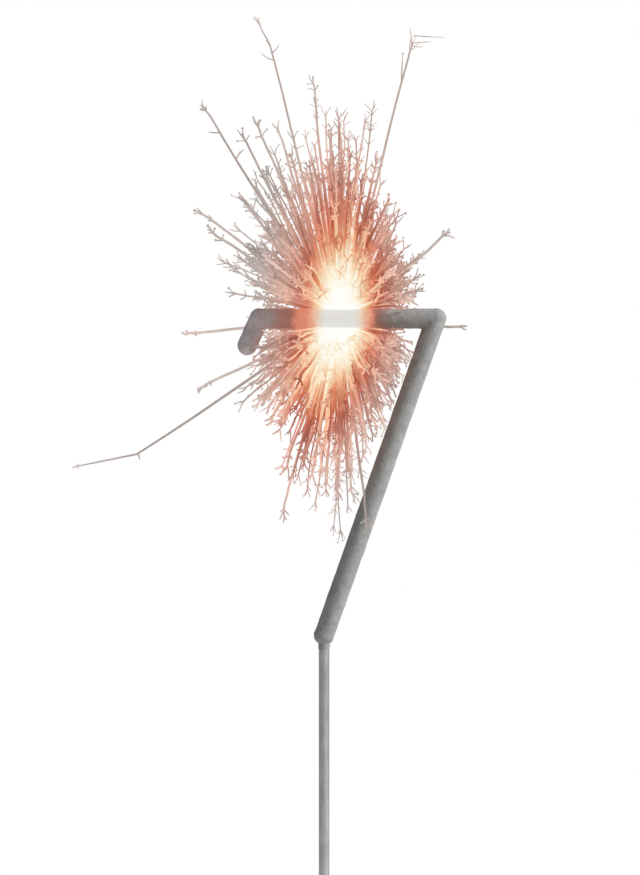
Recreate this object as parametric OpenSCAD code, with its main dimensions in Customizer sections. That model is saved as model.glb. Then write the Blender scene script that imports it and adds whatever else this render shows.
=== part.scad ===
// A number 7 sparkler, held upright by its stem and burning part of the way along its bar.
// Millimetres, +Z up. The origin is the cut end of the stem, and the numeral lies in the plane y = 0
// and is read from -Y. It is one bent wire, the coating dipped onto it, which is unburnt, burning
// and spent along its length, and the trails of the sparks that the burning front throws off.

/* [Numeral] */
// Height of the bar above the foot of the leg, both on their centre lines
numeral_rise = 65.8; // [50:0.1:90]
// How far right of the stem the leg meets the bar
leg_run = 23.3; // [18:0.1:32]
// Length of the bar from corner to corner
bar_len = 36.8; // [34:0.1:50]
// Length of the hook from the corner to its end
hook_len = 6.1; // [4.5:0.1:12]
// Lean of the hook from upright, in degrees
hook_lean = 24; // [10:1:40]

/* [Wire] */
// Diameter of the steel wire
wire_d = 2.2; // [1.6:0.1:2.4]
// Height of the foot of the leg above the cut end of the stem
stem_len = 102; // [60:1:160]
// Bend radius of the two sharp corners, on the wire's centre line
corner_bend_r = 1.8; // [1.5:0.1:2]
// Bend radius where the stem turns into the leg
stem_bend_r = 19; // [14:1:24]
// Chamfer of the two cut ends
cut_chamfer = 0.25; // [0.1:0.05:0.4]

/* [Coating] */
// Diameter over the finished coating
coat_d = 4.16; // [4.1:0.02:5]
// Extra diameter of the drop at the foot of the leg, where the wet coating drained to
drop_d = 0.14; // [0.04:0.02:0.4]
// Extra diameter where the coating gathers on the two sharp corners
corner_d = 0.1; // [0.04:0.02:0.4]
// Thickness of the first dip
first_dip_t = 0.2; // [0.15:0.05:0.5]
// Height over which the first dip thins out to its edge on the stem
collar_h = 1.2; // [0.6:0.1:2]
// How far the coating runs on past the end of the wire
cap_t = 1; // [0.6:0.1:2]

/* [Fire] */
// Distance of the middle of the burning front from the bar's left corner
front_at = 16.8; // [14:0.1:20]
// Length of the burning front
front_len = 9.2; // [7:0.1:12]
// How much the molten front swells beyond the coating, in diameter
front_swell = 0.16; // [0.04:0.02:0.4]
// Length over which the unburnt coating is eaten to a cone under the front
scarf_len = 1.1; // [0.5:0.1:2]

/* [Sparks] */
// Number of spark trails in the burst
spark_count = 190; // [60:1:220]
// Reach of the burst along its long axis, from the middle of the front
burst_reach = 39; // [30:1:46]
// Reach of the burst along the bar
burst_half_width = 16.5; // [12:0.5:20]
// Reach of the burst to the front and to the back
burst_half_depth = 16; // [12:0.5:20]
// Lean of the burst to the left, above the bar and below it, in degrees
burst_lean = 8; // [0:1:16]
// Reach of the burst below the bar, as a share of that above it
low_share = 0.88; // [0.6:0.02:1]
// Radius of a trail where it leaves the front
trail_r = 0.36; // [0.24:0.01:0.42]
// Length of the twigs that a spark splits into
twig_len = 2.6; // [1.4:0.1:3.6]
// Air kept between a trail and the leg or the hook
spark_air = 0.5; // [0.3:0.1:1]

/* [Hidden] */
$fn = 64;

wire_r = wire_d / 2;
dip_r = wire_r + first_dip_t;
coat_r = coat_d / 2;
drop_r = coat_r + drop_d / 2;
corner_r = coat_r + corner_d / 2;
front_r = coat_r + front_swell / 2;

// The wire's centre line as [x, z]: cut end, knee, right corner, left corner, other cut end.
bar_z = stem_len + numeral_rise;
knee = [0, stem_len];
right_corner = [leg_run, bar_z];
left_corner = [leg_run - bar_len, bar_z];
hook_way = [-sin(hook_lean), -cos(hook_lean)];
hook_end = left_corner + hook_len * hook_way;
route = [[0, 0], knee, right_corner, left_corner, hook_end - cap_t * hook_way];
bend_r = [0, stem_bend_r, corner_bend_r, corner_bend_r, 0];

// Places along the bar, from the right corner.
to_front_edge = bar_len - front_at - front_len / 2;
to_scarf_tip = to_front_edge + scarf_len;
front_x = left_corner.x + front_at;

// Wire draws a little thinner round a bend, so each straight keeps its full size as far as this
// past the point where the bend starts. The dip on it does so over a longer way.
bend_thins = 0.06;
end_lap = 0.25;
dip_lap = 1.6 * end_lap;

// The collar of the first dip starts where the stem stops being straight.
collar_z = straight_len(0) + end_lap;

// Details too small to drive by themselves: the edge of the first dip's collar, the step of the
// bead's lip, the blunt edge that the eaten coating keeps, and the bead's shoulders.
collar_edge = 0.06;
scarf_r = coat_r - 0.25;
scarf_tip_r = dip_r + 0.12;
shoulder = 1.2;
collar_slope = collar_h / (first_dip_t - collar_edge);

// How far the trails fan out towards -Y, in degrees from upright, and how far round the front their
// feet stand there; the share of a trail that lies along the bar where it leans most, and half the
// length that the feet stand on; how much further, as a share, the draught lets them fly to the
// left than across; and the zones of the burst as shares of its size.
fan = 78;
foot_fan = 26;
most_lean = 0.95;
foot_span = 0.46 * front_len;
draught = 0.1;
least_share = 0.68;
heart = 0.34;
orange = 0.6;

// --- Bent rods --------------------------------------------------------------------------------
// Each straight of the route has a frame of its own, which starts where the bend before it ends
// and has the straight along its z axis. What follows the wire is drawn in these frames.

function unit(v) = v / norm(v);
function in_space(q) = [q.x, 0, q.y];
function heading(i) = atan2(route[i + 1].x - route[i].x, route[i + 1].y - route[i].y);
function turn_at(i) = (heading(i) - heading(i - 1) + 540) % 360 - 180;

// Length that the bend at point i takes from each of the two straights that meet there.
function setback(i) = i < 1 || i > 3 ? 0 : bend_r[i] * tan(abs(turn_at(i)) / 2);
function straight_len(i) = norm(route[i + 1] - route[i]) - setback(i) - setback(i + 1);

module on_straight(i) {
    if (i == 0)
        children();
    else
        on_straight(i - 1)
            translate([0, 0, straight_len(i - 1)])
                round_corner(i)
                    children();
}

// Carries its children round the bend at point i.
module round_corner(i) {
    sweep_r = bend_r[i] * sign(turn_at(i));
    translate([sweep_r, 0, 0])
        rotate([0, turn_at(i), 0])
            translate([-sweep_r, 0, 0])
                children();
}

// Straight i of a rod of radius r, run on a little into the bends at its ends.
module straight(i, r, lap = end_lap) {
    on_straight(i)
        translate([0, 0, -lap])
            cylinder(h = straight_len(i) + 2 * lap, r = r);
}

// The bend at point i, of a rod of radius r, which starts at the end of straight i - 1.
module bend(i, r) {
    sweep_r = bend_r[i] * sign(turn_at(i));
    on_straight(i - 1)
        translate([sweep_r, 0, straight_len(i - 1)])
            rotate([90, 0, 0])
                rotate([0, 0, turn_at(i) > 0 ? 180 : 0])
                    rotate_extrude(angle = -turn_at(i))
                        translate([bend_r[i], 0])
                            circle(r - bend_thins);
}

// A body of revolution about straight i. Its children are the half section, whose y runs along
// the straight from the corner where its centre line would meet the one before.
module turned_on(i) {
    on_straight(i)
        translate([0, 0, -setback(i)])
            rotate_extrude()
                intersection() {
                    children();
                    translate([0, -50])
                        square([50, 300]);
                }
}

// --- The wire and what is dipped onto it ------------------------------------------------------

module wire_core() {
    color([0.62, 0.62, 0.62]) wire();
}

// One length of wire, bent three times, with both ends cut off and chamfered.
module wire() {
    turned_on(0)
        cut_end_section(straight_len(0) + end_lap);
    for (i = [1 : 3]) bend(i, wire_r);
    for (i = [1 : 2]) straight(i, wire_r);
    on_straight(3)
        translate([0, 0, straight_len(3)])
            rotate([180, 0, 0])
                rotate_extrude()
                    cut_end_section(straight_len(3) + end_lap);
}

module cut_end_section(length) {
    polygon([[0, 0], [wire_r - cut_chamfer, 0], [wire_r, cut_chamfer], [wire_r, length],
             [0, length]]);
}

// The thin first dip, which keys the coating to the steel. It lies under the unburnt coating and
// shows as a tapered collar on the stem, which starts where the stem starts to bend.
module first_dip() {
    color([0.45, 0.44, 0.43])
        difference() {
            dip_over_wire();
            wire();
        }
}

module dip_over_wire() {
    difference() {
        bend(1, dip_r);
        outside_collar();
    }
    straight(1, dip_r, dip_lap);
    bend(2, dip_r);
    turned_on(2)
        translate([0, setback(2) - dip_lap])
            square([dip_r, to_scarf_tip - setback(2) + dip_lap]);
}

// What the first dip leaves free at its foot: the bare stem, and the room round the collar, where
// the dip thins out to a feather edge.
module outside_collar() {
    rotate_extrude()
        translate([0, collar_z])
            polygon([[0, -20], [20, -20], [20, 20 * collar_slope],
                     [wire_r + collar_edge, 0], [0, 0]]);
}

// The unburnt coating: the drained drop at the knee, the leg, the ball of the right corner, and
// the bar as far as the front, where it is eaten to a cone.
module fresh_coating() {
    color([0.52, 0.52, 0.51])
        difference() {
            union() {
                turned_on(1) {
                    square([coat_r, norm(right_corner - knee)]);
                    circle(drop_r);
                    translate([0, norm(right_corner - knee)])
                        circle(corner_r);
                }
                turned_on(2)
                    polygon([[0, 0], [coat_r, 0], [coat_r, to_front_edge],
                             [scarf_r, to_front_edge], [scarf_tip_r, to_scarf_tip],
                             [0, to_scarf_tip]]);
            }
            dip_over_wire();
            wire();
        }
}

// The burning front: a molten bead round the bare wire, whose lip laps over the eaten coating.
module burning_front() {
    color([0.96, 0.93, 0.86])
        difference() {
            turned_on(2)
                translate([0, to_front_edge])
                    polygon(bead_section());
            turned_on(2)
                polygon([[0, to_front_edge - 1], [scarf_r, to_front_edge - 1],
                         [scarf_r, to_front_edge], [scarf_tip_r, to_scarf_tip],
                         [dip_r, to_scarf_tip], [0, to_scarf_tip]]);
            wire();
        }
}

// The bead swells from the coating's own size at its ends to its full size over each shoulder.
function bead_r(a) = coat_r + (front_r - coat_r) * sin(a);
function bead_section() = concat(
    [[0, 0]],
    [for (a = [0 : 30 : 90]) [bead_r(a), shoulder * (1 - cos(a))]],
    [for (a = [90 : -30 : 0]) [bead_r(a), front_len - shoulder * (1 - cos(a))]],
    [[0, front_len]]);

// The crust of slag left on the burnt part: the bar behind the front, the left corner, the hook.
module spent_slag() {
    color([0.42, 0.38, 0.38])
        difference() {
            union() {
                turned_on(2)
                    translate([0, to_front_edge + front_len])
                        square([coat_r, bar_len - to_front_edge - front_len]);
                turned_on(3) {
                    circle(corner_r);
                    square([coat_r, hook_len]);
                    translate([0, hook_len])
                        circle(coat_r);
                }
            }
            wire();
        }
}

// --- The burst --------------------------------------------------------------------------------
// A spark leaves the front square to the wire or leaning along it, and flies straight until it
// splits. Its trail cools as it goes: each trail is one tapering rod, cut where it passes out of
// the white-hot heart, out of the orange zone and, if it is a long one, out of the burst. The
// burst is drawn about the middle of the front.

burst = [front_x, 0, bar_z];

// A vector as shares of the burst's reach along the three axes of its half above the bar, where
// side is 1, or below it, where side is -1.
function shares(v, side) = [
    (v.x * cos(burst_lean) + side * v.z * sin(burst_lean)) / burst_half_width,
    v.y / burst_half_depth,
    (side * v.z * cos(burst_lean) - v.x * sin(burst_lean)) / burst_reach];

// Length along a ray from p, inside the burst, to the shell at share k of the burst's size.
function to_shell(p, d, k) =
    let (side = p.z < 0 ? -1 : 1,
         a = shares(p, side), b = shares(d, side), ab = a * b, bb = b * b)
        (sqrt(ab * ab - bb * (a * a - k * k)) - ab) / bb;

// Length along a ray from p at which it first comes within c of the rod a-b.
function until_near(p, d, a, b, c) =
    let (axis = unit(b - a),
         w = (p - a) - ((p - a) * axis) * axis,
         e = d - (d * axis) * axis,
         root = (w * e) * (w * e) - (e * e) * (w * w - c * c),
         t = root > 0 ? (-(w * e) - sqrt(root)) / (e * e) : far,
         s = (p + t * d - a) * axis)
    t > 0 && t < far && s > -c && s < norm(b - a) + c ? t : far;
far = 1000;

// The leg and the hook, seen from the burst. The burst stops short of the leg also in front of it
// and behind it, so for its trails the leg is met in the flat; a long spark may pass it.
leg = [in_space(knee) - burst, in_space(right_corner) - burst];
hook = [in_space(left_corner) - burst, in_space(hook_end) - burst];
function flat(v) = [v.x, 0, v.z];
function clear_length(p, d, wanted, air, may_pass) = min(wanted,
    until_near(may_pass ? p : flat(p), may_pass ? d : flat(d), leg[0], leg[1], coat_r + air),
    until_near(p, d, hook[0], hook[1], coat_r + air));

// The foot of a trail that flies out: the way square to the front there, and the place on it. No
// trail crosses the face that the numeral shows to -Y, so there the feet stand close to the top
// and the bottom line of the front.
function foot_way(out) =
    let (side = out.z < 0 ? 180 : 0,
         tilt = (atan2(-out.y, out.z) - side + 540) % 360 - 180,
         turn = side + tilt * (out.y < 0 ? foot_fan / 90 : 1))
    [0, -sin(turn), cos(turn)];
function foot_at(out) = [out.x * foot_span, 0, 0] + front_r * foot_way(out);

// A trail: its foot, the way square to the front there, its direction and its length.
function trail(out, d, length, may_pass) =
    [foot_at(out), foot_way(out), d,
     clear_length(foot_at(out), d, length, spark_air, may_pass)];

// Steps of three irrational shares spread the burst's trails evenly over the two fans, one above
// the bar and one below it, and vary their reach.
function spread(i, step) = (0.5 + i * step) % 1;
function away(lean, turn) =
    [lean, -sqrt(1 - lean * lean) * sin(turn), sqrt(1 - lean * lean) * cos(turn)];
function burst_trail(i) =
    let (turn = 2 * spread(i, 0.7548776662),
         above = turn < 1,
         tilt = (90 + fan) * (turn % 1) - 90,
         out = away(most_lean * (2 * spread(i, 0.5698402910) - 1), above ? tilt : 180 - tilt),
         share = least_share + (1 - least_share) * sqrt(spread(i, 0.4142135624)))
    trail(out, out,
          to_shell(foot_at(out), out, (above ? 1 : low_share) * (1 - draught * out.x) * share),
          false);

// The long sparks that outfly the burst, chosen by hand: clockwise degrees from upright, reach as
// a share of the burst's, degrees tipped to the back, spread of the twigs, and their length as a
// share of the burst's own.
LONG = [
    [-14.3, 1.63, -6, 20, 0.8],
    [-32.7, 1.35, 7, 25, 0.8],
    [-6.6, 1.29, 10, 20, 0.8],
    [14.6, 1.51, -9, 78, 1.6],
    [-18, 1.12, 16, 30, 1],
    [-23, 1.13, -14, 30, 1.2],
    [-28, 1.1, 9, 30, 1.2],
    [-39.7, 0.82, -15, 30, 1],
    [-52, 0.93, 8, 25, 1],
    [-56.3, 0.83, -12, 25, 1],
    [52.4, 0.72, -7, 62, 1],
    [-124, 1.62, 0, 12, 0.5],
    [-116.4, 0.83, 10, 40, 0.8],
    [-95, 0.86, 16, 20, 0.4],
    [93.8, 0.68, 18, 20, 0.6],
    [-163.2, 1.07, 5, 30, 1],
    [172.5, 1.1, -12, 30, 1],
    [176.2, 0.97, 14, 30, 1],
];
// The long sparks that turn aside: which one, the share of the burst's reach at which it does so,
// and by how many degrees.
KINK = [[0, 1.44, 11], [11, 1.197, -23]];

function long_out(row) =
    [sin(row[0]) * cos(row[2]), sin(row[2]), cos(row[0]) * cos(row[2])];

function long_trail(row) =
    let (out = long_out(row), line = row[1] * burst_reach * out - foot_at(out))
    trail(out, unit(line), norm(line), true);

TRAILS = concat([for (i = [0 : spark_count - 1]) burst_trail(i)],
                [for (row = LONG) long_trail(row)]);
function is_long(i) = i >= spark_count;

// Lengths along trail i at which it leaves the zone of share k, and at which the burst's part of
// it ends; its radius and its middle at length s.
function cut(i, k) = min(TRAILS[i][3], to_shell(TRAILS[i][0], TRAILS[i][2], k));
function end_of(i) = is_long(i) ? cut(i, 1) : TRAILS[i][3];
function radius_at(i, s) = trail_r * (1 - 0.4 * s / burst_reach);
function point_at(i, s) = TRAILS[i][0] + s * TRAILS[i][2];

// Direction d turned by an angle, towards a side that the roll picks round it.
function veer(d, angle, roll) =
    let (u = unit(cross(d, abs(d.y) < 0.9 ? [0, 1, 0] : [1, 0, 0])), v = cross(d, u))
        cos(angle) * d + sin(angle) * (cos(roll) * u + sin(roll) * v);

// The three corners of a trail's section about p, square to d.
function ring(p, d, r, roll = 0) = [for (k = [0 : 2]) p + r * veer(d, 90, roll + 120 * k)];

// A stretch of trail between two such sections.
module spar(near, tip) {
    hull()
        polyhedron(concat(near, tip), [[0, 1, 2], [5, 4, 3]]);
}

module stretch(i, from, to) {
    spar(ring(point_at(i, from), TRAILS[i][2], radius_at(i, from), 137 * i),
         ring(point_at(i, to), TRAILS[i][2], radius_at(i, to), 137 * i));
}

// The end of a trail, through the sections a, b and c: a thorn stands on one side before b and on
// another after it, and a twig on each third of the end. Twigs and thorns stop short of the leg.
module sprig(i, a, b, c, d, fork, twig, roll) {
    middle = (c[0] + c[1] + c[2]) / 3;
    points = concat(a, b, c, [middle],
        [for (k = [0 : 2])
            shoot(i, middle, veer(d, fork * (1 - 0.2 * k), roll + 60 + 120 * k),
                  twig * (1 - 0.2 * k))],
        [for (k = [0 : 1])
            shoot(i, (k == 0 ? a[0] + b[1] : b[1] + c[2]) / 2,
                  veer(d, 50, roll + 60 + 120 * k), 0.6 * twig)]);
    polyhedron(points, concat(
        [[0, 1, 2]],
        [[0, 3, 13], [3, 4, 13], [4, 1, 13], [1, 0, 13]],
        [for (k = [1 : 2]) each side_faces(0, k)],
        [[4, 7, 14], [7, 8, 14], [8, 5, 14], [5, 4, 14]],
        [for (k = [0, 2]) each side_faces(3, k)],
        [for (k = [0 : 2]) let (l = (k + 1) % 3)
            each [[6 + l, 6 + k, 10 + k], [6 + k, 9, 10 + k], [9, 6 + l, 10 + k]]]));
}
function shoot(i, p, d, length) =
    p + clear_length(p, d, length, spark_air / 2, is_long(i)) * d;
function side_faces(at, k) =
    let (l = (k + 1) % 3) [[at + k, at + k + 3, at + l + 3], [at + k, at + l + 3, at + l]];

// The white-hot heart: the foot of every trail, flat on the front.
module flare() {
    translate(burst) color([1, 0.95, 0.8])
        for (i = [0 : len(TRAILS) - 1])
            spar(ring(TRAILS[i][0], TRAILS[i][1], 0.6 * trail_r),
                 ring(point_at(i, cut(i, heart)), TRAILS[i][2], radius_at(i, cut(i, heart)),
                      137 * i));
}

module inner_sparks() {
    translate(burst) color([0.95, 0.62, 0.36])
        for (i = [0 : len(TRAILS) - 1])
            if (cut(i, orange) > cut(i, heart))
                stretch(i, cut(i, heart), cut(i, orange));
}

// The cooling part of the burst, where its trails branch.
module outer_sparks() {
    translate(burst) color([0.72, 0.42, 0.34])
        for (i = [0 : len(TRAILS) - 1])
            if (is_long(i))
                stretch(i, cut(i, orange), end_of(i));
            else if (end_of(i) > cut(i, orange) + 1) {
                s = cut(i, orange);
                e = end_of(i);
                d = TRAILS[i][2];
                roll = 137 * i;
                at_b = point_at(i, s + 0.75 * (e - s)) + trail_r * veer(d, 90, roll);
                stretch(i, s, s + 0.5 * (e - s));
                sprig(i, ring(point_at(i, s + 0.5 * (e - s)), d,
                              radius_at(i, s + 0.5 * (e - s)), roll),
                      ring(at_b, d, radius_at(i, e), roll),
                      ring(point_at(i, e), d, radius_at(i, e), roll),
                      d, 36, twig_len * (0.7 + 0.5 * spread(i, 0.4142135624)), roll);
            }
}

// The parts of the long sparks beyond the burst, each with its kink and its twigs.
module long_sparks() {
    translate(burst) color([0.66, 0.58, 0.56])
        for (k = [0 : len(LONG) - 1]) {
            i = spark_count + k;
            kink = [for (row = KINK) if (row[0] == k) row];
            turn_s = len(kink) > 0 ? kink[0][1] * burst_reach : TRAILS[i][3] - twig_len;
            angle = len(kink) > 0 ? kink[0][2] : 2;
            d = TRAILS[i][2];
            after = [d.x * cos(angle) - d.z * sin(angle), d.y, d.z * cos(angle) + d.x * sin(angle)];
            elbow = point_at(i, turn_s);
            rest = TRAILS[i][3] - turn_s;
            r = radius_at(i, turn_s);
            stretch(i, end_of(i), turn_s);
            sprig(i, ring(elbow, d, r, 137 * i), ring(elbow + 0.6 * rest * after, after, r, 137 * i),
                  ring(elbow + rest * after, after, r, 137 * i),
                  after, LONG[k][3], LONG[k][4] * twig_len, 137 * i);
        }
}

wire_core();
first_dip();
fresh_coating();
burning_front();
spent_slag();
flare();
inner_sparks();
outer_sparks();
long_sparks();
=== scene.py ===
"""A lit number 7 sparkler: bent steel wire, dipped coating, burning front, and the burst it throws.

The wire and the first dip keep their solids. The coating, the slag, the front and the trails of the
sparks are rebuilt here in place of theirs: the first three with lumps and grain, the trails with
finer ones among them and with the colour of the heat that they have left.
"""
import math
import random
from typing import NamedTuple

import bpy
from mathutils import Matrix, Vector, noise


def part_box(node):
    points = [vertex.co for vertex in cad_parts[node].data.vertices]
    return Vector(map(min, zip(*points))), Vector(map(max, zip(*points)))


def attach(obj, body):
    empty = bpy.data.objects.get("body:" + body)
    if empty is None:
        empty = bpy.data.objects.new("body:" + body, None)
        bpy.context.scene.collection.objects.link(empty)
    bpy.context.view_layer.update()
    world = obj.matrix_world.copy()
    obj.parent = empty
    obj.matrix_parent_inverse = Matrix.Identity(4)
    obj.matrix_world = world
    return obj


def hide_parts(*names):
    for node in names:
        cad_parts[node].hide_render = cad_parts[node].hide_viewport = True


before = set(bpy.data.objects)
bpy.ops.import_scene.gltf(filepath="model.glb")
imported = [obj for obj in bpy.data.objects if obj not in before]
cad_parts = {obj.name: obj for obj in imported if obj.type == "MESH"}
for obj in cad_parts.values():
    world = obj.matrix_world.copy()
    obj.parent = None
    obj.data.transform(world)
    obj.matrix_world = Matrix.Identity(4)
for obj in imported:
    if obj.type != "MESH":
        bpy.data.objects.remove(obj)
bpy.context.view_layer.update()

MM = 0.001


# --- Sizes, in millimetres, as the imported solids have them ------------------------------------

def box_in_mm(node):
    low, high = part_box(node)
    return low / MM, high / MM


front_low, front_high = box_in_mm("burning_front")
front_x = (front_low.x + front_high.x) / 2
front_len = front_high.x - front_low.x
front_r = (front_high.z - front_low.z) / 2
bar_z = (front_low.z + front_high.z) / 2

stem_len = 102.0
leg_run = 23.3
bar_len = 36.8
hook_len = 6.1
hook_lean = math.radians(24)
coat_r = 2.08
corner_r = 2.13
drop_r = 2.15

knee = Vector((0, 0, stem_len))
right_corner = Vector((leg_run, 0, bar_z))
left_corner = Vector((leg_run - bar_len, 0, bar_z))
hook_end = left_corner - hook_len * Vector((math.sin(hook_lean), 0, math.cos(hook_lean)))
front_left = Vector((front_low.x, 0, bar_z))
front_right = Vector((front_high.x, 0, bar_z))

# The burst is an ellipsoid round the middle of the front, in two halves that both lean to the left.
# The lower half reaches low_share as far as the upper one. The draught is the share by which a
# trail reaches further to the left, and less far to the right.
burst = Vector((front_x, 0, bar_z))
burst_reach = 39.0
burst_half_width = 16.5
burst_half_depth = 16.0
burst_lean = math.radians(8)
low_share = 0.88
draught = 0.1


# --- Camera, light and floor ------------------------------------------------------------------

def add_camera():
    """Level and far back, so that each pixel of the picture is 0.208 mm wide at y = 0."""
    picture_width, picture_height = 640, 875
    # Where the stem's axis is across the photo, and the bar's down it.
    stem_px, bar_px = 324.1, 318.6
    pixel = 0.208 * MM
    data = bpy.data.cameras.new("photo_camera")
    data.sensor_fit = "VERTICAL"
    data.sensor_height = 36
    data.lens = 250
    data.clip_start = 0.05
    data.clip_end = 20
    distance = picture_height * pixel * data.lens / data.sensor_height
    camera = bpy.data.objects.new("photo_camera", data)
    camera.location = ((picture_width / 2 - stem_px) * pixel, -distance,
                       bar_z * MM - (picture_height / 2 - bar_px) * pixel)
    camera.rotation_euler = (math.pi / 2, 0, 0)
    bpy.context.scene.collection.objects.link(camera)
    bpy.context.scene.camera = camera


def add_light(name, place, size, power):
    """A round, soft light that shines at the numeral."""
    numeral = Vector((0, 0, 0.14))
    data = bpy.data.lights.new(name, "AREA")
    data.shape = "DISK"
    data.size = size
    data.energy = power
    light = bpy.data.objects.new(name, data)
    light.location = place
    light.rotation_euler = (numeral - light.location).to_track_quat("-Z", "Y").to_euler()
    bpy.context.scene.collection.objects.link(light)


def add_studio():
    """Soft light from the upper right, and a ground that the camera sees as white but that lights
    the part less than it shows."""
    add_light("key", place=(1.0, -0.26, 0.80), size=0.35, power=20.2)
    add_light("front", place=(0.3, -1.1, 0.35), size=0.3, power=0.3)

    world = bpy.data.worlds.new("studio")
    world.use_nodes = True
    nodes, links = world.node_tree.nodes, world.node_tree.links
    nodes.clear()
    ground = nodes.new("ShaderNodeBackground")
    ambient = nodes.new("ShaderNodeBackground")
    ground.inputs["Color"].default_value = (1, 1, 1, 1)
    ambient.inputs["Color"].default_value = (0.98, 0.99, 1, 1)
    ambient.inputs["Strength"].default_value = 0.345
    path = nodes.new("ShaderNodeLightPath")
    seen_or_lit = nodes.new("ShaderNodeMixShader")
    out = nodes.new("ShaderNodeOutputWorld")
    links.new(path.outputs["Is Camera Ray"], seen_or_lit.inputs[0])
    links.new(ambient.outputs[0], seen_or_lit.inputs[1])
    links.new(ground.outputs[0], seen_or_lit.inputs[2])
    links.new(seen_or_lit.outputs[0], out.inputs["Surface"])
    bpy.context.scene.world = world
    bpy.context.scene.view_settings.view_transform = "Standard"
    bpy.context.scene.view_settings.look = "None"


def add_floor():
    """A pale disc under the stem, which belongs to the stage and not to the part."""
    sides, radius = 96, 0.55
    rim = [(radius * math.cos(math.tau * k / sides), radius * math.sin(math.tau * k / sides), 0)
           for k in range(sides)]
    mesh = bpy.data.meshes.new("floor")
    mesh.from_pydata(rim, [], [range(sides)])
    floor = bpy.data.objects.new("floor", mesh)
    bpy.context.scene.collection.objects.link(floor)
    material, _, _, surface = new_material("pale_floor")
    surface.inputs["Base Color"].default_value = (0.86, 0.86, 0.85, 1)
    surface.inputs["Roughness"].default_value = 0.7
    mesh.materials.append(material)


# --- Material helpers -------------------------------------------------------------------------

def screen(red, green, blue):
    """A colour as a screen shows it, 0 to 255, as the linear colour that a shader takes."""
    def linear(level):
        level /= 255
        return level / 12.92 if level <= 0.04045 else ((level + 0.055) / 1.055) ** 2.4
    return linear(red), linear(green), linear(blue), 1


def grey(value):
    return value, value, value, 1


def new_material(name):
    material = bpy.data.materials.new(name)
    material.use_nodes = True
    nodes = material.node_tree.nodes
    return material, nodes, material.node_tree.links, nodes["Principled BSDF"]


def feed(links, value, socket):
    """Gives a socket its value, which is a number, a colour or the output of another node."""
    if isinstance(value, bpy.types.NodeSocket):
        links.new(value, socket)
    else:
        socket.default_value = value


def math_node(nodes, links, kind, *values):
    node = nodes.new("ShaderNodeMath")
    node.operation = kind
    for value, socket in zip(values, node.inputs):
        feed(links, value, socket)
    return node.outputs[0]


def place_in_mm(nodes, links):
    """The place of a surface point in the part's own frame, in millimetres."""
    place = nodes.new("ShaderNodeTexCoord")
    scale = nodes.new("ShaderNodeVectorMath")
    scale.operation = "SCALE"
    scale.inputs["Scale"].default_value = 1 / MM
    links.new(place.outputs["Object"], scale.inputs[0])
    return scale.outputs[0]


def parts_of(nodes, links, vector):
    """The X, Y and Z of a vector."""
    split = nodes.new("ShaderNodeSeparateXYZ")
    links.new(vector, split.inputs[0])
    return split.outputs


def noise_at(nodes, links, vector, scale, detail=2, roughness=0.5):
    texture = nodes.new("ShaderNodeTexNoise")
    texture.inputs["Scale"].default_value = scale
    texture.inputs["Detail"].default_value = detail
    texture.inputs["Roughness"].default_value = roughness
    links.new(vector, texture.inputs["Vector"])
    return texture.outputs["Fac"]


def ramp(nodes, links, value, stops):
    """Colours that follow a value; stops are (value, colour), from the lowest value up."""
    low, high = stops[0][0], stops[-1][0]
    span = nodes.new("ShaderNodeMapRange")
    span.inputs["From Min"].default_value = low
    span.inputs["From Max"].default_value = high
    links.new(value, span.inputs["Value"])
    node = nodes.new("ShaderNodeValToRGB")
    elements = node.color_ramp.elements
    elements[0].position, elements[1].position = 0, 1
    for at, _ in stops[1:-1]:
        elements.new((at - low) / (high - low))
    for element, (_, color) in zip(elements, stops):
        element.color = color
    links.new(span.outputs[0], node.inputs["Fac"])
    return node.outputs["Color"]


def mix(nodes, links, share, first, second, kind="MIX"):
    """Two colours mixed. A mix node takes them at its sockets 6 and 7, and gives one at its 2."""
    node = nodes.new("ShaderNodeMix")
    node.data_type = "RGBA"
    node.blend_type = kind
    feed(links, share, node.inputs["Factor"])
    feed(links, first, node.inputs[6])
    feed(links, second, node.inputs[7])
    return node.outputs[2]


def times(nodes, links, first, second):
    return mix(nodes, links, 1.0, first, second, "MULTIPLY")


def bump(nodes, links, surface, height, strength, depth):
    """Makes a surface look rough, to a depth in millimetres."""
    node = nodes.new("ShaderNodeBump")
    node.inputs["Strength"].default_value = strength
    node.inputs["Distance"].default_value = depth * MM
    links.new(height, node.inputs["Height"])
    links.new(node.outputs[0], surface.inputs["Normal"])


# --- Materials --------------------------------------------------------------------------------

ASH_GLOW = screen(128, 108, 103)
DULL_RED = screen(150, 92, 78)
RED_GLOW = screen(216, 132, 106)
ORANGE_GLOW = screen(232, 170, 140)
CREAM_GLOW = screen(228, 204, 184)
MOLTEN = screen(220, 218, 216)


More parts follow.
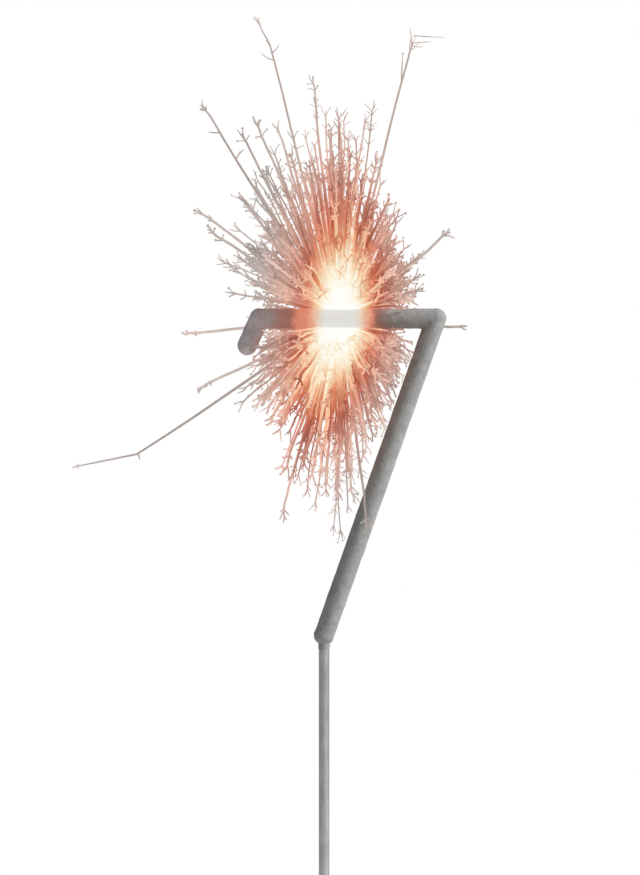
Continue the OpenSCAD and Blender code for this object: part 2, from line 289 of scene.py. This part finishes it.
def heat_along_bar(nodes, links, x):
    """What the bar gives off, and how much of its own colour that hides, by how far the surface
    point is past the ends of the molten band, which lie a little inside those of the front."""
    inset_left, inset_right = 1.0, 1.5
    band_left, band_right = front_left.x + inset_left, front_right.x - inset_right
    glow = ramp(nodes, links, x, [
        (band_left - 12.0, ASH_GLOW), (band_left - 8.6, DULL_RED), (band_left - 6.8, DULL_RED),
        (band_left - 5.3, RED_GLOW), (band_left - 3.7, RED_GLOW), (band_left - 2.1, ORANGE_GLOW),
        (band_left - 0.9, CREAM_GLOW), (band_left, MOLTEN),
        (band_right, MOLTEN), (band_right + 1.4, CREAM_GLOW), (band_right + 2.6, ORANGE_GLOW),
        (band_right + 3.5, RED_GLOW), (band_right + 4.6, DULL_RED), (band_right + 9.0, ASH_GLOW)])
    share = ramp(nodes, links, x, [
        (band_left - 12.5, grey(0)), (band_left - 9.0, grey(0.55)), (band_left - 6.8, grey(0.85)),
        (band_left - 4.6, grey(0.92)), (band_right + 3.5, grey(0.92)),
        (band_right + 4.6, grey(0.72)), (band_right + 6.4, grey(0.3)),
        (band_right + 9.0, grey(0))])
    return glow, share


def crust_material(name, dark, light, roughness):
    """Dipped mineral coating: a matt grain with metal flecks, which glows near the front."""
    material, nodes, links, surface = new_material(name)
    place = place_in_mm(nodes, links)
    split = parts_of(nodes, links, place)

    mottle = noise_at(nodes, links, place, scale=0.5, detail=4, roughness=0.65)
    grain = noise_at(nodes, links, place, scale=6, detail=4, roughness=0.7)
    grained = ramp(nodes, links, grain, [(0.25, grey(0.7)), (0.75, grey(1.3))])
    tone = times(nodes, links, ramp(nodes, links, mottle, [(0.32, dark), (0.68, light)]), grained)
    flecks = nodes.new("ShaderNodeTexVoronoi")
    flecks.inputs["Scale"].default_value = 3.6
    links.new(place, flecks.inputs["Vector"])
    fleck = ramp(nodes, links, flecks.outputs["Distance"], [(0.1, grey(0.55)), (0.2, grey(0))])
    fleck_tone = grey(0.62)
    tone = mix(nodes, links, fleck, tone, fleck_tone)
    smoothest, roughest = grey(roughness - 0.15), grey(roughness + 0.12)
    links.new(ramp(nodes, links, grain, [(0.2, smoothest), (0.8, roughest)]),
              surface.inputs["Roughness"])
    surface.inputs["Specular IOR Level"].default_value = 0.3
    bump(nodes, links, surface, grain, strength=0.45, depth=0.12)

    # The glow ends raggedly along the bar, and fades out where the hook and the leg go down.
    ragged_by = 3.4
    glow_none, glow_full = bar_z - 4.2, bar_z - 2.5
    waver = noise_at(nodes, links, place, scale=0.55, detail=3, roughness=0.6)
    ragged = math_node(nodes, links, "MULTIPLY_ADD", waver, ragged_by, -ragged_by / 2)
    along = math_node(nodes, links, "ADD", split["X"], ragged)
    glow, share = heat_along_bar(nodes, links, along)
    on_bar = ramp(nodes, links, split["Z"], [(glow_none, grey(0)), (glow_full, grey(1))])
    share = times(nodes, links, share, on_bar)
    flicker = noise_at(nodes, links, place, scale=1.2, detail=3)
    uneven = ramp(nodes, links, flicker, [(0.3, grey(0.96)), (0.7, grey(1.03))])
    glow = times(nodes, links, glow, uneven)
    links.new(times(nodes, links, glow, share), surface.inputs["Emission Color"])
    surface.inputs["Emission Strength"].default_value = 1
    lit_by_others = times(nodes, links, glow, grey(0.1))
    links.new(mix(nodes, links, share, tone, lit_by_others), surface.inputs["Base Color"])
    return material


def wire_material():
    """Drawn steel: fine lines along the stem and a few dull stains."""
    material, nodes, links, surface = new_material("drawn_steel")
    place = place_in_mm(nodes, links)
    drawn = nodes.new("ShaderNodeMapping")
    drawn.inputs["Scale"].default_value = (1, 1, 0.03)
    links.new(place, drawn.inputs["Vector"])
    lines = noise_at(nodes, links, drawn.outputs[0], scale=8, detail=3, roughness=0.6)
    stain = noise_at(nodes, links, place, scale=0.3, detail=4, roughness=0.6)
    stained = ramp(nodes, links, stain, [(0.3, grey(0.46)), (0.7, grey(0.58))])
    lined = ramp(nodes, links, lines, [(0.3, grey(0.85)), (0.7, grey(1.1))])
    links.new(times(nodes, links, stained, lined), surface.inputs["Base Color"])
    surface.inputs["Metallic"].default_value = 0.9
    links.new(ramp(nodes, links, lines, [(0.2, grey(0.28)), (0.8, grey(0.40))]),
              surface.inputs["Roughness"])
    bump(nodes, links, surface, lines, strength=0.2, depth=0.03)
    return material


# The light that a trail gives off, by how far out it is as a share of the glow's own size: white in
# the heart of the burst, then orange and red, and ashen where the spark has cooled.
BRIGHT = ((0.22, screen(255, 254, 250)), (0.32, screen(255, 250, 236)),
          (0.40, screen(255, 240, 212)), (0.49, screen(254, 220, 182)),
          (0.60, screen(252, 194, 158)), (0.74, screen(240, 182, 158)),
          (0.96, screen(232, 192, 176)), (1.40, screen(212, 192, 184)))
MIDDLE = ((0.20, screen(255, 254, 249)), (0.30, screen(254, 247, 228)),
          (0.39, screen(250, 224, 188)), (0.48, screen(244, 184, 146)),
          (0.60, screen(226, 140, 110)), (0.74, screen(212, 142, 123)),
          (0.96, screen(222, 177, 160)), (1.40, screen(195, 180, 174)))
DULL = ((0.19, screen(255, 253, 246)), (0.29, screen(252, 240, 214)),
        (0.38, screen(244, 202, 158)), (0.47, screen(228, 146, 106)),
        (0.60, screen(198, 104, 78)), (0.74, screen(182, 110, 93)),
        (0.96, screen(197, 150, 135)), (1.40, screen(182, 168, 162)))
glow_half_width = 12.5
glow_half_depth = 50.0
glow_reach = 36.0
glow_aside = 0.4
glow_lean_above = 0.0
glow_lean_below = math.radians(15)


def share_of_glow(nodes, links, place):
    """How far a surface point is from the middle of the glow, as a share of the glow's size, and
    which way. The glow leans to the left more below the bar than above it."""
    from_middle = nodes.new("ShaderNodeVectorMath")
    from_middle.operation = "SUBTRACT"
    from_middle.inputs[1].default_value = burst + Vector((glow_aside, 0, 0))
    links.new(place, from_middle.inputs[0])
    split = parts_of(nodes, links, from_middle.outputs[0])
    folded = nodes.new("ShaderNodeCombineXYZ")
    links.new(split["X"], folded.inputs["X"])
    links.new(split["Y"], folded.inputs["Y"])
    links.new(math_node(nodes, links, "ABSOLUTE", split["Z"]), folded.inputs["Z"])
    half = math_node(nodes, links, "SIGN", split["Z"])
    lean = math_node(nodes, links, "MULTIPLY_ADD", half, (glow_lean_above - glow_lean_below) / 2,
                     (glow_lean_above + glow_lean_below) / 2)
    upright = nodes.new("ShaderNodeVectorRotate")
    upright.rotation_type = "Y_AXIS"
    links.new(folded.outputs[0], upright.inputs["Vector"])
    links.new(lean, upright.inputs["Angle"])
    share = nodes.new("ShaderNodeVectorMath")
    share.operation = "DIVIDE"
    share.inputs[1].default_value = (glow_half_width, glow_half_depth, glow_reach)
    links.new(upright.outputs[0], share.inputs[0])
    size = nodes.new("ShaderNodeVectorMath")
    size.operation = "LENGTH"
    links.new(share.outputs[0], size.inputs[0])
    way = nodes.new("ShaderNodeVectorMath")
    way.operation = "NORMALIZE"
    links.new(from_middle.outputs[0], way.inputs[0])
    return size.outputs["Value"], way.outputs[0]


def spark_material(name, colors):
    """Gives off its own light alone, which is uneven outside the heart of the glow."""
    material, nodes, links, surface = new_material(name)
    place = place_in_mm(nodes, links)
    share, way = share_of_glow(nodes, links, place)
    by_place = noise_at(nodes, links, place, scale=0.8, detail=2)
    flicker = ramp(nodes, links, by_place, [(0.3, grey(0.9)), (0.7, grey(1.06))])
    by_way = noise_at(nodes, links, way, scale=22, detail=1)
    uneven = ramp(nodes, links, by_way, [(0.34, grey(0.74)), (0.66, grey(1.16))])
    inside = ramp(nodes, links, share, [(0.3, grey(1)), (0.55, grey(0))])
    color = times(nodes, links, ramp(nodes, links, share, colors),
                  mix(nodes, links, inside, times(nodes, links, uneven, flicker), grey(1)))
    surface.inputs["Base Color"].default_value = grey(0)
    surface.inputs["Roughness"].default_value = 1
    surface.inputs["Specular IOR Level"].default_value = 0
    links.new(color, surface.inputs["Emission Color"])
    surface.inputs["Emission Strength"].default_value = 1
    return material


# --- The coating ------------------------------------------------------------------------------

# Rods end in balls of so many steps, which close at a pole. The skin over them is remeshed and
# smoothed, and then raised by three noises, each with its own scale, though never by more than
# most_rise.
ball_steps = 12
pole_r = 0.01
skin_voxel = 0.16
skin_smoothings = 5
lump_scale = 0.42
grain_scale = 1.9
fine_grain_scale = 4.1
fine_grain_share = 0.5
most_rise = 0.06


def add_mesh(name, verts, faces, material):
    mesh = bpy.data.meshes.new(name)
    mesh.from_pydata([v * MM for v in verts], [], faces)
    mesh.materials.append(material)
    piece = bpy.data.objects.new(name, mesh)
    bpy.context.scene.collection.objects.link(piece)
    return piece


def rod_profile(length, radius, start_ball, end_ball):
    """(distance along, radius) of a rod with a ball or, where that is 0, a flat face at an end."""
    arc = [k / ball_steps * math.pi / 2 for k in range(ball_steps + 1)]
    rows = [(-start_ball * math.cos(a), max(start_ball * math.sin(a), pole_r))
            for a in arc] if start_ball else []
    rows += [(0, radius), (length, radius)]
    if end_ball:
        rows += [(length + end_ball * math.sin(a), max(end_ball * math.cos(a), pole_r))
                 for a in arc]
    return rows


def rod(start, end, radius, start_ball=0, end_ball=0, sides=72):
    way = end - start
    turn = way.to_track_quat("Z", "Y").to_matrix()
    rows = rod_profile(way.length, radius, start_ball, end_ball)
    verts = [start + turn @ Vector((r * math.cos(math.tau * k / sides),
                                    r * math.sin(math.tau * k / sides), along))
             for along, r in rows for k in range(sides)]
    faces = [(j * sides + k, j * sides + (k + 1) % sides,
              (j + 1) * sides + (k + 1) % sides, (j + 1) * sides + k)
             for j in range(len(rows) - 1) for k in range(sides)]
    faces.append(tuple(reversed(range(sides))))
    faces.append(tuple(range((len(rows) - 1) * sides, len(rows) * sides)))
    return verts, faces


def crust(name, rods, material, lump, grain):
    """Joins rods into one skin, rounds the corner between them, and roughens it as wet coating
    dries, with low lumps and with grains, neither of which rise far."""
    verts, faces = [], []
    for one_verts, one_faces in rods:
        faces += [tuple(k + len(verts) for k in face) for face in one_faces]
        verts += one_verts
    piece = add_mesh(name, verts, faces, material)
    skin = piece.modifiers.new("skin", "REMESH")
    skin.voxel_size = skin_voxel * MM
    soften = piece.modifiers.new("soften", "SMOOTH")
    soften.iterations = skin_smoothings
    mesh = bpy.data.meshes.new_from_object(
        piece.evaluated_get(bpy.context.evaluated_depsgraph_get()))
    piece.modifiers.clear()
    piece.data = mesh
    if not mesh.materials:
        mesh.materials.append(material)
    rises = []
    for vert in mesh.vertices:
        p = vert.co / MM
        rise = lump * noise.noise(lump_scale * p) + grain * noise.noise(grain_scale * p)
        rise += fine_grain_share * grain * noise.noise(fine_grain_scale * p)
        rises.append(min(rise, most_rise) * MM * vert.normal)
    for vert, rise in zip(mesh.vertices, rises):
        vert.co += rise
    for face in mesh.polygons:
        face.use_smooth = True
    return piece


def add_coating(coating, slag, front):
    # Its name, what it replaces, slot, material, the height of its lumps and of its grain, rods.
    skins = (
        ("coating_skin", "fresh_coating", "coating", coating, 0.07, 0.035,
         [rod(knee, right_corner, coat_r, drop_r, corner_r), rod(right_corner, front_right, coat_r)]),
        ("slag_skin", "spent_slag", "slag", slag, 0.08, 0.05,
         [rod(front_left, left_corner, coat_r), rod(left_corner, hook_end, coat_r, corner_r, coat_r)]),
        ("front_skin", "burning_front", "front", front, 0.05, 0.03,
         [rod(front_left, front_right, front_r)]),
    )
    for name, node, slot, material, lump, grain, rods in skins:
        piece = crust(name, rods, material, lump, grain)
        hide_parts(node)
        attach(piece, "root")


# --- The sizes of the burst -------------------------------------------------------------------
# The trails stand where the solids' do, with finer ones among them. Places here are measured from
# the middle of the front.

spark_air = 0.5
trail_r = 0.36
fine_r = 0.29
wisp_r = 0.22
twig_len = 2.6

# Irrational steps, which spread the trails evenly over the ways they can go and how far.
turn_step = 0.7548776662
lean_step = 0.5698402910
reach_step = 0.4142135624

# The trails fan out from upright by a quarter turn to the back, and by front_fan degrees to the
# viewer. Their feet go round the front with them at the back. Towards the viewer they go less far,
# foot_fan degrees for a trail at a quarter turn. Along the bar the feet stand up to foot_span from
# the middle, and a trail leans by up to most_lean of its length.
front_fan = 78
foot_fan = 26
foot_span = 0.46 * front_len
most_lean = 0.95
# How finely the tufts, in which neighbouring trails reach further than others, divide the burst.
tuft_scale = 5.0

# The shares of the burst's size at which trails pass from the flare to the inner zone, and from
# there to the outer one.
heart = 0.34
orange = 0.6

# How deep a foot stands in the front, by what share a trail is thinner at the burst's reach, the
# shortest part that is drawn in the outer zone, in how many steps it is, how far its twigs spread,
# and the length of it that gets one knot.
foot_depth = 0.1
taper = 0.4
least_outer = 0.8
outer_steps = 4
twig_degrees = 40
knot_gap = 4.5

# A path sways by a part of a wave, in radians, and is put off it at each step. Both are multiplied
# by how far the path wanders.
path_wave = 4.5
path_jitter = 0.3

# The twigs that a trail ends in. Their angle, length and thickness are shares of what the trail
# is given, and they stand round it by end_roll radians from one to the next.
end_twigs = 3
end_roll = 2.1
end_angle = (0.4, 1.1)
end_length = (0.5, 1.05)
end_thickness = 0.9

# A knot has one twig or, twice as often, two. Their angle is in degrees.
knot_twigs = (1, 2, 2)
knot_roll = 3
knot_degrees = (28, 62)
knot_length = (0.35, 0.8)
knot_thickness = 0.85

least_twig = 0.3
twig_wander = 0.12
twig_taper = (1, 0.95, 0.6)
bead_chance = 0.45
bead_size = (1.2, 1.8)

# The tones are 0, bright, 1, middle, and 2, dull. Trails that point mostly to the back or to the
# viewer are brighter than the rest.
mostly_deep = 0.7
tones_if_deep = (0, 0, 1)
tones_if_not = (0, 1, 1, 2, 2)


class Kind(NamedTuple):
    """A kind of trail. Its reach is a share of the burst's, between the least and the most. The
    others say how strongly such trails crowd towards upright, by what share tufts change their
    reach, and how far they may point to the back or the viewer, as a share of their length."""
    number: int
    radius: float
    least: float
    most: float
    twig_size: float
    wander: float
    upright: float = 0.0
    tufts: float = 0.0
    deepest: float = math.inf


KINDS = (
    Kind(number=190, radius=trail_r, least=0.68, most=1.0, twig_size=twig_len, wander=0.5),
    Kind(number=420, radius=fine_r, least=0.5, most=1.0, twig_size=0.85 * twig_len, wander=0.4,
         upright=0.5, tufts=0.25),
    Kind(number=400, radius=wisp_r, least=0.85, most=1.15, twig_size=twig_len, wander=0.6,
         upright=1.0, tufts=0.35, deepest=0.5),
)

# The long sparks that outfly the burst: clockwise degrees from upright, reach as a share of the
# burst's, degrees tipped to the back, spread of the twigs, and their length as a share of the
# burst's own.
LONG = [
    (-14.3, 1.63, -6, 20, 0.8),
    (-32.7, 1.35, 7, 25, 0.8),
    (-6.6, 1.29, 10, 20, 0.8),
    (14.6, 1.51, -9, 78, 1.6),
    (-18, 1.12, 16, 30, 1),
    (-23, 1.13, -14, 30, 1.2),
    (-28, 1.1, 9, 30, 1.2),
    (-39.7, 0.82, -15, 30, 1),
    (-52, 0.93, 8, 25, 1),
    (-56.3, 0.83, -12, 25, 1),
    (52.4, 0.72, -7, 62, 1),
    (-124, 1.62, 0, 12, 0.5),
    (-116.4, 0.83, 10, 40, 0.8),
    (-95, 0.86, 16, 20, 0.4),
    (93.8, 0.68, 18, 20, 0.6),
    (-163.2, 1.07, 5, 30, 1),
    (172.5, 1.1, -12, 30, 1),
    (176.2, 0.97, 14, 30, 1),
]
# The long sparks that turn aside: the share of the burst's reach at which they do so, and by how
# many degrees. The others turn a little, a twig's length before their end.
KINK = {0: (1.44, 11), 11: (1.197, -23)}
LITTLE_KINK = (0, 2)
# The tone of the long sparks that are paler, 0, than the rest, 1.
LONG_TONES = {0: 0, 3: 0, 13: 0}
# Longer twigs on long sparks: which spark, at what share of the burst's reach, degrees aside in
# the plane of the numeral, and length.
BRANCHES = [(0, 1.36, 48, 3.0), (0, 1.40, -62, 2.2), (1, 1.12, 60, 2.4), (1, 0.95, -70, 2.6),
            (3, 1.24, 20, 6.2), (3, 1.50, -79, 6.2), (3, 1.46, -83, 4.0), (11, 1.19, 60, 1.2)]
# How many knots a long spark has, and the least length between the burst's edge and its turn.
long_knots = 2
least_run = 0.1


# --- Where the trails go ----------------------------------------------------------------------

def shares(v, side):
    """A vector in shares of the burst's size, in its upper half, side 1, or its lower, side -1."""
    c, s = math.cos(burst_lean), math.sin(burst_lean)
    return Vector(((v.x * c + side * v.z * s) / burst_half_width, v.y / burst_half_depth,
                   (side * v.z * c - v.x * s) / burst_reach))


def to_shell(start, way, share):
    """Length along a ray to the shell at a share of the burst's size."""
    side = -1 if start.z < 0 else 1
    a, b = shares(start, side), shares(way, side)
    root = a.dot(b) ** 2 - b.dot(b) * (a.dot(a) - share * share)
    return (math.sqrt(max(root, 0)) - a.dot(b)) / b.dot(b)


def until_near(start, way, rod_start, rod_end, air):
    """Length along a ray at which it first comes within the air round a rod's axis, which is 0
    where it starts there."""
    axis = (rod_end - rod_start).normalized()
    far_end = (rod_end - rod_start).length + air
    along = (start - rod_start).dot(axis)
    off = (start - rod_start) - along * axis
    if off.length < air and -air < along < far_end:
        return 0.0
    off_way = way - way.dot(axis) * axis
    root = off.dot(off_way) ** 2 - off_way.dot(off_way) * (off.dot(off) - air * air)
    if root <= 0:
        return math.inf
    length = (-off.dot(off_way) - math.sqrt(root)) / off_way.dot(off_way)
    along = (start + length * way - rod_start).dot(axis)
    return length if length > 0 and -air < along < far_end else math.inf


def clear_length(start, way, wanted, air, may_pass):
    """The length wanted, cut short of the hook and of the leg. The leg also stops what would pass
    in front of it or behind it, unless that may pass."""
    flat = (lambda v: v) if may_pass else (lambda v: Vector((v.x, 0, v.z)))
    leg = until_near(flat(start), flat(way), knee - burst, right_corner - burst, coat_r + air)
    hook = until_near(start, way, left_corner - burst, hook_end - burst, coat_r + air)
    return min(wanted, leg, hook)


def foot_at(out):
    """Where a trail that goes that way starts on the round front."""
    side = 180 if out.z < 0 else 0
    tilt = (math.degrees(math.atan2(-out.y, out.z)) - side + 540) % 360 - 180
    turn = math.radians(side + tilt * (foot_fan / 90 if out.y < 0 else 1))
    return Vector((out.x * foot_span, -front_r * math.sin(turn), front_r * math.cos(turn)))


def spread(i, step):
    return (0.5 + i * step) % 1


def burst_trail(i, kind):
    """The foot, way and length of a trail. The first half of the turns is above the bar."""
    turn = 2 * spread(i, turn_step)
    above = turn < 1
    tilt = math.radians((90 + front_fan) * (turn % 1) - 90)
    lean = 2 * spread(i, lean_step) - 1
    lean *= most_lean * abs(lean) ** kind.upright
    across = math.sqrt(1 - lean * lean)
    out = Vector((lean, -across * math.sin(tilt), across * math.cos(tilt) * (1 if above else -1)))
    share = kind.least + (kind.most - kind.least) * math.sqrt(spread(i, reach_step))
    share *= (1 if above else low_share) * (1 - draught * out.x)
    share *= 1 + kind.tufts * noise.noise(tuft_scale * out)
    foot = foot_at(out)
    length = to_shell(foot, out, share)
    return foot, out, clear_length(foot, out, length, spark_air, False)


def long_trail(degrees, reach, tip):
    """The foot, way and length of a long spark."""
    angle, tip = math.radians(degrees), math.radians(tip)
    out = Vector((math.sin(angle) * math.cos(tip), math.sin(tip), math.cos(angle) * math.cos(tip)))
    foot = foot_at(out)
    line = reach * burst_reach * out - foot
    way = line.normalized()
    return foot, way, clear_length(foot, way, line.length, spark_air, True)


# --- The trails themselves --------------------------------------------------------------------

class Zone:
    """The trails of one zone of the burst, gathered into one mesh, with the tone of each face."""

    def __init__(self):
        self.verts, self.faces, self.tones = [], [], []
        self.tone = 0

    def add_faces(self, faces):
        self.faces += faces
        self.tones += [self.tone] * len(faces)

    def tube(self, points, radii, sides=4):
        """A closed tube. Its corners are set out from a way that no trail takes exactly."""
        off_way = Vector((0.1, 0.99, 0.13))
        first = len(self.verts)
        for k, (p, r) in enumerate(zip(points, radii)):
            way = (points[min(k + 1, len(points) - 1)] - points[max(k - 1, 0)]).normalized()
            u = way.cross(off_way).normalized()
            v = way.cross(u)
            self.verts += [p + r * (math.cos(math.tau * j / sides) * u
                                    + math.sin(math.tau * j / sides) * v) for j in range(sides)]
        for k in range(first, first + (len(points) - 1) * sides, sides):
            self.add_faces([(k + j, k + (j + 1) % sides, k + (j + 1) % sides + sides,
                             k + j + sides) for j in range(sides)])
        last = len(self.verts) - sides
        self.add_faces([tuple(first + j for j in reversed(range(sides))),
                        tuple(last + j for j in range(sides))])

    def bead(self, p, r):
        """A small blob, as a spark's drop of metal leaves where it stops."""
        first = len(self.verts)
        self.verts += [p + r * Vector(v) for v in ((1, 0, 0), (0, 1, 0), (-1, 0, 0), (0, -1, 0),
                                                   (0, 0, 1), (0, 0, -1))]
        self.add_faces([(first + a, first + (a + 1) % 4, first + 4) for a in range(4)])
        self.add_faces([(first + (a + 1) % 4, first + a, first + 5) for a in range(4)])


def aside(way, angle, roll):
    """The way turned by an angle, towards a side that the roll picks round it."""
    u = way.cross(Vector((0, 1, 0)) if abs(way.y) < 0.9 else Vector((1, 0, 0))).normalized()
    v = way.cross(u)
    return math.cos(angle) * way + math.sin(angle) * (math.cos(roll) * u + math.sin(roll) * v)


def turned(way, degrees):
    """The way turned anticlockwise in the plane of the numeral, as the photo shows it."""
    return Matrix.Rotation(-math.radians(degrees), 3, "Y") @ way


def crooked(rng, start, way, length, steps, wander):
    """Points along a path that is nearly straight."""
    side = aside(way, math.pi / 2, rng.uniform(0, math.tau))
    phase = rng.uniform(0, math.tau)
    return [start + way * (length * k / steps)
            + side * (wander * k / steps * (math.sin(phase + path_wave * k / steps) - math.sin(phase)
                                            + rng.uniform(-path_jitter, path_jitter)))
            for k in range(steps + 1)]


def add_twig(zone, rng, start, way, length, radius, may_pass):
    """A twig, unless the leg or the hook leaves it no room. Some end in a bead."""
    length = clear_length(start, way, length, spark_air / 2, may_pass)
    if length < least_twig:
        return
    points = crooked(rng, start, way, length, len(twig_taper) - 1, twig_wander * length)
    zone.tube(points, [share * radius for share in twig_taper], sides=3)
    if rng.random() < bead_chance:
        zone.bead(points[-1], rng.uniform(*bead_size) * radius)


def add_twigs(zone, rng, points, radius, size, angle, may_pass, knots):
    """The twigs that the end of a trail splits into, and the knots before it, where the spark
    threw off smaller ones."""
    way = (points[-1] - points[-2]).normalized()
    roll = rng.uniform(0, math.tau)
    for k in range(end_twigs):
        twig_way = aside(way, angle * rng.uniform(*end_angle), roll + end_roll * k)
        add_twig(zone, rng, points[-1], twig_way, size * rng.uniform(*end_length),
                 end_thickness * radius, may_pass)
    for _ in range(knots):
        j = rng.randrange(len(points) // 2, len(points) - 1)
        at = points[j].lerp(points[j + 1], rng.random())
        roll = rng.uniform(0, math.tau)
        for side in range(rng.choice(knot_twigs)):
            twig_way = aside(way, math.radians(rng.uniform(*knot_degrees)), roll + knot_roll * side)
            add_twig(zone, rng, at, twig_way, size * rng.uniform(*knot_length),
                     knot_thickness * radius, may_pass)


def radius_at(radius, along):
    return radius * (1 - taper * along / burst_reach)


def add_trail(zones, rng, foot, way, length, radius, twig_size, wander, tone=None):
    """A trail of the burst, cut where it passes from one zone into the next. Its tone is drawn
    where none is given."""
    drawn = rng.choice(tones_if_deep if abs(way.y) > mostly_deep else tones_if_not)
    for zone in zones.values():
        zone.tone = drawn if tone is None else tone
    to_heart = min(length, to_shell(foot, way, heart))
    to_orange = min(length, to_shell(foot, way, orange))

    def straight(name, near, far):
        steps = [near, (near + far) / 2, far]
        zones[name].tube([foot + way * s for s in steps], [radius_at(radius, s) for s in steps])

    straight("flare", -foot_depth, to_heart)
    if to_orange > to_heart:
        straight("inner_sparks", to_heart, to_orange)
    if length > to_orange + least_outer:
        outer = length - to_orange
        points = crooked(rng, foot + way * to_orange, way, outer, outer_steps, wander)
        zones["outer_sparks"].tube(points, [radius_at(radius, to_orange + outer * k / outer_steps)
                                            for k in range(outer_steps + 1)])
        add_twigs(zones["outer_sparks"], rng, points, radius_at(radius, length), twig_size,
                  math.radians(twig_degrees), False, round(outer / knot_gap))


def add_long_trail(zones, rng, index):
    """A long spark: its first part as any trail's, then the part beyond the burst, which may turn
    aside, with its twigs and branches."""
    angle, reach, tip, twig_angle, twig_share = LONG[index]
    foot, way, length = long_trail(angle, reach, tip)
    edge = min(length, to_shell(foot, way, 1))
    add_trail(zones, rng, foot, way, edge, trail_r, 0, 0, LONG_TONES.get(index, 1))
    zone = zones["long_sparks"]
    share, degrees = KINK.get(index, LITTLE_KINK)
    turn_at = share * burst_reach if share else length - twig_len
    points = crooked(rng, foot + way * edge, way, max(turn_at - edge, least_run), steps=4, wander=0.2)
    points += crooked(rng, points[-1], turned(way, degrees), length - turn_at, steps=3,
                      wander=0.15)[1:]
    radii = [radius_at(trail_r, edge + (length - edge) * k / (len(points) - 1))
             for k in range(len(points))]
    zone.tube(points, radii)
    add_twigs(zone, rng, points, radii[-1], twig_share * twig_len, math.radians(twig_angle), True,
              long_knots)
    for which, at, degrees, size in BRANCHES:
        if which == index:
            add_twig(zone, rng, foot + way * (at * burst_reach), turned(way, degrees), size,
                     radius_at(trail_r, at * burst_reach), True)


def add_burst(tones):
    slots = {"flare": "white_hot", "inner_sparks": "orange_hot", "outer_sparks": "red_hot",
             "long_sparks": "cooling"}
    zones = {name: Zone() for name in slots}
    rng = random.Random(7)
    first = 0
    for kind in KINDS:
        for i in range(first, first + kind.number):
            foot, way, length = burst_trail(i, kind)
            if abs(way.y) < kind.deepest:
                add_trail(zones, rng, foot, way, length, kind.radius, kind.twig_size, kind.wander)
        first += kind.number
    for index in range(len(LONG)):
        add_long_trail(zones, rng, index)
    for name, zone in zones.items():
        piece = add_mesh(name + "_trails", [burst + v for v in zone.verts], zone.faces, tones[0])
        for tone in tones[1:]:
            piece.data.materials.append(tone)
        piece.data.polygons.foreach_set("material_index", zone.tones)
        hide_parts(name)
        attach(piece, "root")


# --- The scene --------------------------------------------------------------------------------

add_camera()
add_studio()
add_floor()

coating = crust_material("coating_grain", screen(128, 128, 127), screen(148, 148, 146), roughness=0.78)
slag = crust_material("slag_grain", screen(176, 167, 169), screen(202, 193, 194), roughness=0.84)
front = crust_material("molten_front", screen(196, 194, 192), screen(214, 212, 210), roughness=0.5)
add_coating(coating, slag, front)

steel = wire_material()
for node, material in (("wire_core", steel), ("first_dip", coating)):
    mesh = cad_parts[node].data
    mesh.materials.clear()
    mesh.materials.append(material)

add_burst([spark_material("bright_trail", BRIGHT), spark_material("red_trail", MIDDLE),
           spark_material("dull_trail", DULL)])
